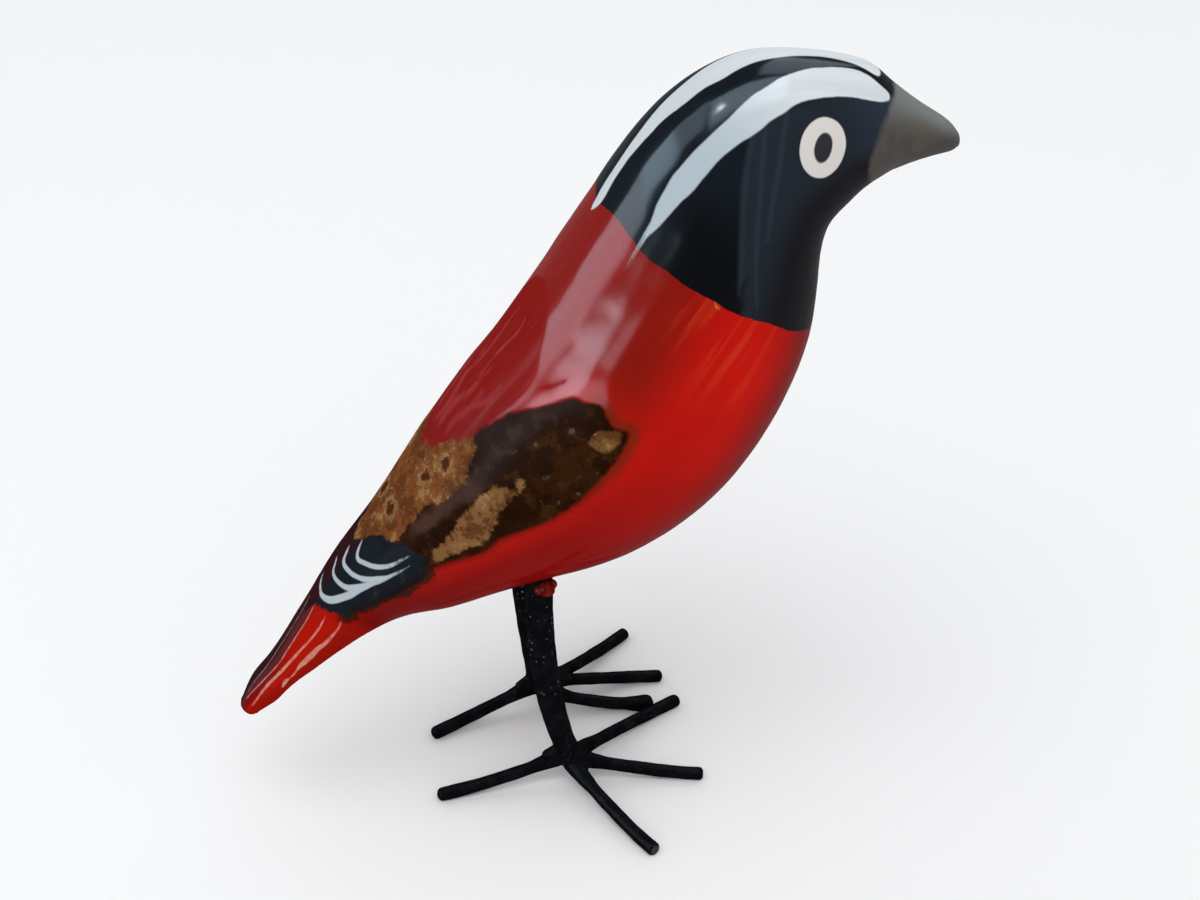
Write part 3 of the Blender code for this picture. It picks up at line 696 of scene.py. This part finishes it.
# The brown was rubbed out into ochre at the front, and darker along the lower edge.
front = station.ramp(6.2, 6.9)
halo = (wing + ragged * 0.6 + front * 0.8).ramp(-1.6, 0.1) * turn.ramp(46, 60)
halo_colour = wood.layer(paint(84, 20, 8), front, paint(98, 33, 9))
red = wood.layer(red, halo * 0.72, halo_colour)
loose = (patches - 0.5) * 5.0 * (1 - turn.ramp(24, 38))  # the edge over the back is broken
painted = wood.layer(red, (wing + stray * 0.6 + ragged * 0.4 + loose).ramp(-0.4, 0.35), brown)
right_turn = 0 - wood.mark("left_turn")
maroon = (1 - right_turn.ramp(2, 20)) * (1 - turn.ramp(46, 60))
tip_colour = wood.layer(paint(24, 30, 36), maroon, paint(48, 22, 26))
tip_colour = wood.layer(tip_colour, patches.ramp(0.5, 0.64) * turn.ramp(44, 60) * 0.5, paint(46, 54, 50))
tip_colour = wood.layer(tip_colour, (1 - tip.ramp(0.2, 1.6)) * turn.ramp(56, 66) * 0.7, paint(28, 20, 15))
fringe = (tip + ragged * 1.4 + (patches - 0.5) * 4.5).ramp(-1.2, -0.5) * turn.ramp(54, 64)
painted = wood.layer(painted, fringe * 0.85, paint(44, 19, 10))
tip_edge = tip + stray * 1.2 + ragged * 1.0 + (patches - 0.5) * 2.5 * turn.ramp(46, 60)
painted = wood.layer(painted, tip_edge.ramp(-0.2, 0.25), tip_colour)
feathers = (wood.mark("feather_depth") + stray * 0.1 + ragged * 0.08).ramp(-0.12, 0.12)
dry = 1 - station.ramp(3.7, 4.25) * crumbs.ramp(0.4, 0.56) * 0.85
painted = wood.layer(painted, feathers * dry * 0.92, paint(180, 190, 197))

# The head: navy, near black behind the cheek and bluer on the face, with faint streaks down it. The face's
# blue and its streaks are painted reflections of the room in the lacquer.
# Painted reflection: past the face line the navy is lightened to a greyish blue, which fades out lower down.
face_reflection_share = (wood.mark("face_reflection_depth") + (streaks - 0.5) * 10.0).ramp(-3, 5)
navy = wood.layer(paint(14, 20, 27), clouds.ramp(0.4, 0.62) * 0.5, paint(18, 26, 34))
navy = wood.layer(navy, (1 - station.ramp(9.4, 10.4)) * turn.ramp(42, 56), paint(6, 8, 12))
low = turn.ramp(88, 112)
navy = wood.layer(navy, face_reflection_share * 0.9, wood.layer(paint(32, 39, 47), low, paint(19, 17, 21)))
navy = wood.layer(navy, station.ramp(12.6, 14.2) * face_reflection_share * (1 - low) * 0.7, paint(44, 53, 66))
# Painted reflection: thin pale streaks along the face line.
reflection_streak = (wood.mark("face_reflection_streaks") + stray * 0.35).ramp(-0.5, 0.25)
navy = wood.layer(navy, reflection_streak * 0.4, paint(50, 59, 68))
painted = wood.layer(painted, (head + stray * 0.5 + ragged * 0.15).ramp(-0.08, 0.1), navy)
chip = (wood.mark("chip_depth") + ragged * 0.25).ramp(-0.08, 0.12)
painted = wood.layer(painted, chip * 0.85, paint(176, 138, 62))
# The beak's grey is lighter along its top: a painted highlight.
beak_colour_and_highlight = wood.layer(paint(74, 69, 66), 1 - turn.ramp(30, 95), paint(118, 120, 119))
beak_colour_and_highlight = wood.layer(beak_colour_and_highlight, blotches.ramp(0.44, 0.66) * turn.ramp(40, 80) * 0.6, paint(90, 82, 73))
beak_colour_and_highlight = wood.layer(beak_colour_and_highlight, station.ramp(16.6, 18.0) * 0.5, paint(74, 72, 71))
beak_colour_and_highlight = wood.layer(beak_colour_and_highlight, crumbs.ramp(0.62, 0.72) * 0.35, paint(54, 52, 50))
painted = wood.layer(painted, (beak + stray * 1.2 + ragged * 0.5).ramp(-0.9, 0.6), beak_colour_and_highlight)
chalk = wood.layer(paint(214, 218, 220), streaks.ramp(0.4, 0.7) * 0.5, paint(194, 203, 209))
dimmer = (1 - station.ramp(10.2, 12.6)) * (turn.ramp(20, 30) * 0.6 + 0.35)
chalk = wood.layer(chalk, dimmer, paint(172, 185, 193))
stripe = (wood.mark("stripe_depth") + stray * 0.3 + ragged * 0.08).ramp(-0.16, 0.18)
painted = wood.layer(painted, stripe, chalk)
ring = (wood.mark("ring_depth") + stray * 0.18).ramp(-0.1, 0.14)
painted = wood.layer(painted, ring, paint(214, 209, 204))
pupil = (wood.mark("pupil_depth") + stray * 0.15).ramp(-0.14, 0.14)
painted = wood.layer(painted, pupil, paint(46, 45, 52))
# The lacquer is thin over the wings, the tail and the cut, and has sunk in over the lower back.
dull = wing.ramp(-0.55, 0.1).most(tip.ramp(-0.5, 0.1)).most(1 - station.ramp(2.8, 3.3))
sunken = (wood.mark("sunken_depth") + stray * 0.5).ramp(-0.4, 0.3) * (1 - streaks.ramp(0.45, 0.7) * 0.16)
dull = dull.most(sunken).most((wood.mark("cut_shade_depth") + ragged * 0.12).ramp(-0.2, 0.1))
wood.feed(Base_Color=painted, Coat_Weight=0.12 - dull * 0.117)
carved_body.data.materials.append(wood.material)
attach(carved_body, "root")
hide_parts("body")

# The two legs
# Each is a bundle of iron wires dipped in thick black enamel: together they make the shank, and below the
# ankle they part into four toes, bent down to the floor, with webs of enamel where they part. The upper end
# is glued into a blind hole in the belly.
BELLY = 41.87  # height of the belly round each leg
LEG_SPACING = 17.6
LEG_RADIUS = 2.15
ANKLE_HEIGHT = 5.0
SOCKET_DEPTH = 6.0
TOE_RADIUS = 1.08
TOE_FLAT = 0.25  # how far below the floor a toe would reach if its underside weren't worn flat
TOE_LENGTH = 21.2
ENAMEL_GRAIN = 0.17  # size of the cells that the wires are fused in
ENAMEL_WOBBLE = 0.05  # how uneven the enamel is
SOCKET_STEPS, SHANK_STEPS, TOE_STEPS = 8, 60, 56  # how many rings a wire has
WIRE_SIDES = 24


def wire_rings(path, radii):
    """Rings round a path: centre + radius * (cos * one + sin * other), one and other at right angles to it.

    The first of the two follows the path's start, and each next one is the last made square to the path.
    """
    ways = np.gradient(path, axis=0)
    ways /= np.linalg.norm(ways, axis=1, keepdims=True)
    one = np.cross(ways[0], (0.0, 1.0, 0.1))
    angles = np.arange(WIRE_SIDES) * 2 * math.pi / WIRE_SIDES
    rings = []
    for centre, way, radius in zip(path, ways, radii):
        one = one - way * (one @ way)
        one /= np.linalg.norm(one)
        other = np.cross(way, one)
        rings.append(centre + radius * (np.cos(angles)[:, None] * one + np.sin(angles)[:, None] * other))
    return np.array(rings)


def enamelled_wire(name, path, radii, seed, squareness=2.0):
    """A wire whose radius closes at its ends by (1 - (1 - share)^n)^(1/n): round at n = 2, square above."""
    steps = np.linalg.norm(np.diff(path, axis=0), axis=1)
    run = np.concatenate(((0,), np.cumsum(steps)))
    to_end = np.minimum(run, run[-1] - run)
    share = np.clip(to_end / radii, 0, 1)
    closing = np.clip(1 - (1 - share) ** squareness, 0.01, 1) ** (1 / squareness)
    rings = wire_rings(path, radii * closing)
    waves = gentle_waves(rings.reshape(-1, 3), 5.0, ENAMEL_WOBBLE, 10, seed).reshape(rings.shape[:2])
    centres = path[:, None]
    rings = centres + (rings - centres) * (1 + waves[..., None] / radii[:, None, None])
    return closed_rings(name, rings[::-1], path[-1], path[0])


def shank_path(side, step):
    """Straight out of the socket, then ahead by step * share ^ lateness down to the ankle."""
    ahead, lateness = step
    share = np.linspace(0, 1, SHANK_STEPS)
    y = np.full(SHANK_STEPS, side * LEG_SPACING / 2)
    below = np.stack((ahead * share**lateness, y, BELLY + (ANKLE_HEIGHT - BELLY) * share), axis=1)
    in_socket = np.linspace(BELLY + SOCKET_DEPTH, BELLY, SOCKET_STEPS, endpoint=False)
    above = np.stack((np.zeros(SOCKET_STEPS), y[:SOCKET_STEPS], in_socket), axis=1)
    return np.vstack((above, below)) + (HIP[0], HIP[1], 0)


def toe_path(ankle, side, heading, length, root, bow):
    """Out along its heading, down by (1 - share)^1.8 to the floor, with a bow of 4 * share * (1 - share)."""
    ahead, across = math.cos(math.radians(heading)), side * math.sin(math.radians(heading))
    share = np.linspace(0, 1, TOE_STEPS)
    aside = side * bow * 2 * TOE_RADIUS * 4 * share * (1 - share)
    lowest = TOE_RADIUS - TOE_FLAT
    highest = ANKLE_HEIGHT + root * 2 * TOE_RADIUS
    x = ankle[0] + ahead * length * share - across * aside
    y = ankle[1] + across * length * share + ahead * aside
    return np.stack((x, y, lowest + (highest - lowest) * (1 - share) ** 1.8), axis=1)


def fused(name, lumps, grain):
    """Overlapping lumps as one skin: fused on a grid of this grain, drawn smooth, and flat on the floor."""
    bpy.ops.object.select_all(action="DESELECT")
    for lump in lumps:
        lump.select_set(True)
    bpy.context.view_layer.objects.active = lumps[0]
    bpy.ops.object.join()
    bundle = bpy.context.view_layer.objects.active
    skin = bundle.modifiers.new("enamel", "REMESH")
    skin.mode = "VOXEL"
    skin.voxel_size = grain * MM
    smooth = bundle.modifiers.new("drawn", "SMOOTH")
    smooth.factor, smooth.iterations = 0.5, 10
    graph = bpy.context.evaluated_depsgraph_get()
    mesh = bpy.data.meshes.new_from_object(bundle.evaluated_get(graph))
    bpy.data.objects.remove(bundle)
    points = np.empty(len(mesh.vertices) * 3)
    mesh.vertices.foreach_get("co", points)
    points[2::3] = np.maximum(points[2::3], 0.0)
    mesh.vertices.foreach_set("co", points)
    mesh.shade_smooth()
    mesh.update()
    mesh.name = name
    mesh.materials.clear()
    piece = bpy.data.objects.new(name, mesh)
    bpy.context.scene.collection.objects.link(piece)
    return piece


# For each toe: degrees from straight ahead, outwards positive; length in toe lengths; how high its root
# leaves the ankle and how far it bows outwards, both in toe diameters; its radius at the end as a share of
# TOE_RADIUS; and how square that end is.
RIGHT_TOES = (
    (180, 1.04, 0.1, 0.1, 1.05, 3.0),
    (15, 1.03, -0.3, -0.1, 1.0, 9.0),
    (-30, 1.21, -0.2, -0.4, 1.05, 2.5),
    (66, 1.05, -0.7, 0.1, 1.05, 9.0),
)
LEFT_TOES = (
    (190, 0.92, 0.2, -0.4, 1.05, 2.5),
    (4, 1.05, 0.3, 0.6, 1.0, 5.0),
    (37, 1.13, 0.1, 0.1, 1.0, 4.0),
    (-14, 0.92, -0.5, -0.3, 1.35, 2.5),
)
CUT_TOES = {"right_leg": (1, 3), "left_leg": (1,)}  # with bare wire at their ends
# The enamel's webs between them: the heading, how far it reaches in mm, its root as above and its radius.
RIGHT_WEBS = ((-8, 4.3, -0.2, 1.1), (42, 3.6, -0.5, 1.25), (95, 2.2, -0.5, 1.3), (180, 4.8, 1.2, 0.9))
LEFT_WEBS = ((20, 6.6, 0.3, 1.0), (-5, 4.5, -0.2, 1.0), (190, 4.5, 1.2, 0.9))
RIGHT_STEP = (4.5, 2.6)  # how far ahead the ankle is, and how late the shank bends there
LEFT_STEP = (3.3, 1.0)
# Places along a shank or a toe as shares of its length, and how thick it is there in shares of its radius.
SHANK_PLACES, SHANK_SHARES = (0, 0.65, 0.92, 1), (1, 1, 0.87, 0.95)
TOE_PLACES, TOE_SHARES = (0, 0.12, 0.28, 0.75), (1.5, 1.3, 0.98, 1.0)
TOE_END = (0.9, 1)  # where a toe is as thick as its end
BELOW_ANKLE = (0.1, 0, -1.7)  # how far the shank runs on among the toes
BARE_LENGTH, BARE_REACH = 0.22, 0.9  # how much of a cut end is bare, along the toe and round its tip

enamel = Finish("black_enamel", Specular_IOR_Level=0.0, Coat_Weight=0.012, Coat_Roughness=0.35)
place = enamel.object_place()
specks = enamel.node("ShaderNodeTexVoronoi", {}, {"Vector": place, "Scale": 1150.0}, output="Distance")
rare = enamel.noise(place, 260.0, 2.0).ramp(0.46, 0.6)
up_leg = enamel.node("ShaderNodeSeparateXYZ", {}, {"Vector": place}, output="Z")
dust = (0.24 - specks).ramp(0.0, 0.08) * rare * (up_leg.ramp(0.014, 0.03) * 0.92 + 0.08)
cloudy = enamel.noise(place, 500.0, 4.0)
black = enamel.layer(paint(10, 11, 14), cloudy.ramp(0.4, 0.7), paint(19, 20, 22))
black = enamel.layer(black, dust * 0.85, paint(122, 128, 132))
# The cut ends of three toes are bare wire, brown with rust.
rust = enamel.mark("bare").ramp(0.35, 0.65) * cloudy.ramp(0.35, 0.5)
enamel.feed(Base_Color=enamel.layer(black, rust, paint(64, 55, 49)))
enamel.feed(Roughness=cloudy * 0.25 + 0.4)
pitted = enamel.noise(place, 1400.0, 3.0, 0.6)
bump = enamel.node("ShaderNodeBump", {}, {"Strength": 0.35, "Distance": 0.00012, "Height": pitted}, "Normal")
enamel.feed(Normal=bump)

for name, side, step, toes, webs in (
    ("right_leg", -1, RIGHT_STEP, RIGHT_TOES, RIGHT_WEBS),
    ("left_leg", 1, LEFT_STEP, LEFT_TOES, LEFT_WEBS),
):
    path = shank_path(side, step)
    ankle = path[-1]
    thick = LEG_RADIUS * np.interp(np.linspace(0, 1, len(path)), SHANK_PLACES, SHANK_SHARES)
    below = ankle + np.linspace(0.1, 1, 6)[:, None] * BELOW_ANKLE
    whole = np.vstack((path, below))
    thick = np.concatenate((thick, np.full(len(below), thick[-1])))
    wires = [enamelled_wire(f"{name}_shank", whole, thick, seed=side + 5)]
    ends = []
    for number, (heading, length, root, bow, end, squareness) in enumerate(toes):
        path = toe_path(ankle, side, heading, length * TOE_LENGTH, root, bow)
        share = np.linspace(0, 1, len(path))
        thickness = TOE_RADIUS * np.interp(share, TOE_PLACES + TOE_END, TOE_SHARES + (end, end))
        seed = 20 + number * 3 + side
        wires.append(enamelled_wire(f"{name}_toe_{number}", path, thickness, seed, squareness))
        if number in CUT_TOES[name]:
            last_step = path[-1] - path[-2]
            ends.append((path[-1], last_step / np.linalg.norm(last_step)))
    for number, (heading, reach, root, radius) in enumerate(webs):
        path = toe_path(ankle, side, heading, TOE_LENGTH, root, 0.0)
        path = path[: round(reach / TOE_LENGTH * len(path))]
        radii = np.full(len(path), radius)
        wires.append(enamelled_wire(f"{name}_web_{number}", path, radii, seed=50 + number))
    leg = fused(f"enamelled_{name}", wires, ENAMEL_GRAIN)
    points = np.empty(len(leg.data.vertices) * 3)
    leg.data.vertices.foreach_get("co", points)
    points = points.reshape(-1, 3) / MM
    bared = np.zeros(len(points))
    for end, way in ends:
        gap = points - end
        bared[(gap @ way > -BARE_LENGTH) & (np.linalg.norm(gap, axis=1) < BARE_REACH)] = 1.0
    leg.data.attributes.new("bare", "FLOAT", "POINT").data.foreach_set("value", bared.astype(np.float32))
    leg.data.materials.append(enamel.material)
    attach(leg, "root")
    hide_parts(name)

# The filler at the sockets
# Lumps of putty pressed against the outer front of each leg where it enters the belly, and painted red with
# the body. They hold the wires in their hole.
LUMPS = (
    # degrees outwards from straight ahead, how far from the leg's axis, drop below the belly, and radius
    (72, 2.3, 0.1, 1.25),
    (46, 2.2, -0.1, 0.95),
    (100, 2.2, 0.0, 0.8),
)
FILLER_GRAIN = 0.1
LUMP_RINGS, LUMP_SIDES, LAST_RING = 24, 36, 84  # the last ring's degrees from the lump's middle
SHIFT_APART = 3.0  # which gives the lumps of each side bumps of their own

filler = Finish("red_filler", Roughness=0.5, Specular_IOR_Level=0.0, Coat_Weight=0.05, Coat_Roughness=0.3)
place = filler.object_place()
patchy = filler.noise(place, 900.0, 4.0, 0.6)
filler.feed(Base_Color=filler.layer(paint(84, 9, 9), patchy.ramp(0.4, 0.65), paint(128, 28, 26)))
grainy = filler.noise(place, 2200.0, 3.0)
rough = filler.node("ShaderNodeBump", {}, {"Strength": 0.5, "Distance": 0.0002, "Height": grainy})
filler.feed(Normal=rough)
for name, side in (("right_filler", -1), ("left_filler", 1)):
    shells = []
    for number, (bearing, reach, drop, radius) in enumerate(LUMPS):
        bearing = math.radians(bearing)
        y = side * (LEG_SPACING / 2 + math.sin(bearing) * reach)
        centre = np.array((HIP[0] + math.cos(bearing) * reach, HIP[1] + y, BELLY - drop))
        rise = np.radians(np.linspace(-LAST_RING, LAST_RING, LUMP_RINGS))[:, None]
        turns = np.arange(LUMP_SIDES) * 2 * math.pi / LUMP_SIDES
        across, up = radius * np.cos(rise), radius * np.sin(rise) * np.ones_like(turns)
        shell = np.stack((across * np.cos(turns), across * np.sin(turns), up), axis=-1)
        places = shell.reshape(-1, 3) + side * SHIFT_APART
        bumps = gentle_waves(places, longest=2.4, height=0.14, count=8, seed=9 + number)
        shell = centre + shell * (1 + bumps.reshape(shell.shape[:2])[..., None])
        poles = centre - (0, 0, radius), centre + (0, 0, radius)
        shells.append(closed_rings(f"{name}_{number}", shell[::-1], poles[1], poles[0]))
    lump = fused(name, shells, FILLER_GRAIN)
    lump.data.materials.append(filler.material)
    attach(lump, "root")

# The floor
# A plain pale sheet, which isn't part of the bird.
floor_mesh = bpy.data.meshes.new("floor")
floor_mesh.from_pydata([(-4, -4, 0), (4, -4, 0), (4, 4, 0), (-4, 4, 0)], [], [(0, 1, 2, 3)])
floor = bpy.data.objects.new("floor", floor_mesh)
bpy.context.scene.collection.objects.link(floor)
sheet = Finish("pale_sheet", Base_Color=(0.92, 0.92, 0.92, 1), Roughness=0.9, Specular_IOR_Level=0.0)
floor_mesh.materials.append(sheet.material)

# The studio light
# A pale room and a softbox overhead light the bird evenly. The others show in its lacquer only: a window low
# behind the tail, dimmer panes above it up to the ceiling, a pane beyond the head and one small lamp.
target = Vector((2.52 * MM, 2.8 * MM, 58 * MM))


def way_out(azimuth, elevation):
    """Out from the bird: (sin azimuth * cos elevation, -cos azimuth * cos elevation, sin elevation)."""
    turn, up = math.radians(azimuth), math.radians(elevation)
    return Vector((math.sin(turn) * math.cos(up), -math.cos(turn) * math.cos(up), math.sin(up)))


def softbox(name, way, distance, wide, tall, radiance, colour):
    """A rectangular light that faces the bird from a way out of it, in metres."""
    light = bpy.data.lights.new(name, "AREA")
    light.shape = "RECTANGLE"
    light.size, light.size_y = wide, tall
    light.energy = radiance * math.pi * wide * tall
    light.color = colour
    lamp = bpy.data.objects.new(name, light)
    lamp.location = target + way * distance
    lamp.rotation_euler = way.to_track_quat("Z", "Y").to_euler()
    bpy.context.scene.collection.objects.link(lamp)
    return lamp


WHITE, LAMP_WHITE = (1.0, 1.0, 1.0), (0.9, 0.95, 1.0)
SKY, HIGH_SKY = (0.78, 0.87, 1.0), (0.62, 0.83, 1.0)
PANE_DISTANCE = 1.5
PANES = (
    # name, azimuth and elevation in degrees, width and height in metres, radiance and colour
    ("window", -70, 9.5, 0.665, 0.342, 76.0, SKY),
    ("window_side", -48.5, 6.5, 0.448, 0.342, 27.0, SKY),
    ("low_pane", -98, 17, 0.86, 0.368, 36.0, SKY),
    ("high_pane", -101, 31, 0.80, 0.368, 50.0, HIGH_SKY),
    ("top_pane", -104, 47.5, 0.75, 0.50, 21.0, HIGH_SKY),
    ("ceiling", -95, 84, 0.8, 1.4, 34.0, HIGH_SKY),
    ("far_pane", 146, 50, 0.6, 0.9, 15.0, SKY),
    ("lamp", -95, 64, 0.12, 0.1, 300.0, LAMP_WHITE),
)
softbox("overhead", way_out(-40, 72), 0.9, 0.8, 0.6, 1.6, WHITE)
for name, azimuth, elevation, wide, tall, radiance, colour in PANES:
    pane = softbox(name, way_out(azimuth, elevation), PANE_DISTANCE, wide, tall, radiance, colour)
    pane.visible_diffuse = False
room = bpy.data.worlds.new("room")
bpy.context.scene.world = room
room.use_nodes = True
room.node_tree.nodes["Background"].inputs["Color"].default_value = (0.96, 0.98, 1.0, 1)
room.node_tree.nodes["Background"].inputs["Strength"].default_value = 0.85

# The camera
# From the bird's right and a little behind its middle, looking down by 35 degrees.
CAMERA_AZIMUTH, CAMERA_ELEVATION, CAMERA_DISTANCE = -14.0, 35.0, 0.300
SENSOR_WIDTH, FOCAL_LENGTH = 36.0, 59.4  # mm
back = way_out(CAMERA_AZIMUTH, CAMERA_ELEVATION)
lens = bpy.data.cameras.new("camera")
lens.sensor_width = SENSOR_WIDTH
lens.lens = FOCAL_LENGTH
lens.clip_start = 0.01
camera = bpy.data.objects.new("camera", lens)
camera.location = target + back * CAMERA_DISTANCE
camera.rotation_euler = back.to_track_quat("Z", "Y").to_euler()
bpy.context.scene.collection.objects.link(camera)
bpy.context.scene.camera = camera

# Colours as they are painted, with no film curve over them.
bpy.context.scene.view_settings.view_transform = "Standard"
